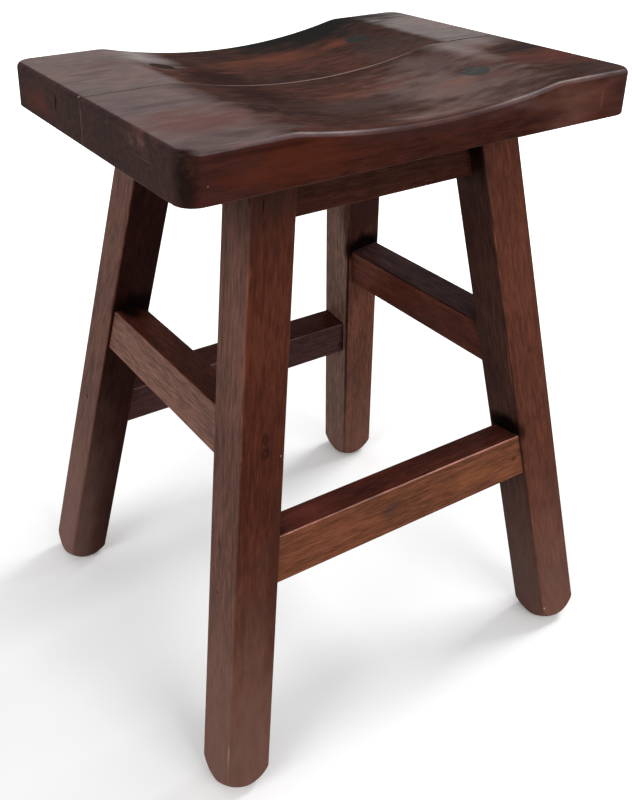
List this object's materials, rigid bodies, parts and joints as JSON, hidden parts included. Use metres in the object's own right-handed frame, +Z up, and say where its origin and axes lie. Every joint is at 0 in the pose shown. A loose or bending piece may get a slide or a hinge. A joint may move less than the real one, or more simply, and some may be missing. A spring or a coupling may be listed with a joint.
{
  "type": "saddle seat bar stool",
  "caption": "Backless wooden bar stool with a saddle-scooped plank seat on splayed square legs, joined by staggered stretchers and low aprons.",
  "frame": {"origin": "centre of the stool on the floor it stands on", "axes": "+X along the seat to the sitter's right as seen from the front, -Y the front, +Z up from the floor"},
  "size_m": [0.464, 0.4132, 0.61],
  "materials": {
    "seat_wood": "dark red-brown stain under satin lacquer",
    "leg_wood": "dark red-brown stain under satin lacquer",
    "apron_wood": "dark red-brown stain under satin lacquer",
    "stretcher_wood": "dark red-brown stain under satin lacquer",
    "plug_wood": "dark stained plug under satin lacquer",
    "tongue_wood": "bare hardwood",
    "zinc_steel": "zinc-plated steel"
  },
  "bodies": {
    "root": {"seat_front_board": "seat_wood", "seat_rear_board": "seat_wood", "seat_joint_tongue": "tongue_wood", "seat_screws": "zinc_steel", "seat_plug_front_left": "plug_wood", "seat_plug_front_right": "plug_wood", "seat_plug_rear_left": "plug_wood", "seat_plug_rear_right": "plug_wood", "leg_front_left": "leg_wood", "leg_front_right": "leg_wood", "leg_rear_left": "leg_wood", "leg_rear_right": "leg_wood", "apron_front": "apron_wood", "apron_rear": "apron_wood", "apron_left": "apron_wood", "apron_right": "apron_wood", "stretcher_front": "stretcher_wood", "stretcher_rear": "stretcher_wood", "stretcher_left": "stretcher_wood", "stretcher_right": "stretcher_wood"}
  },
  "joints": []
}
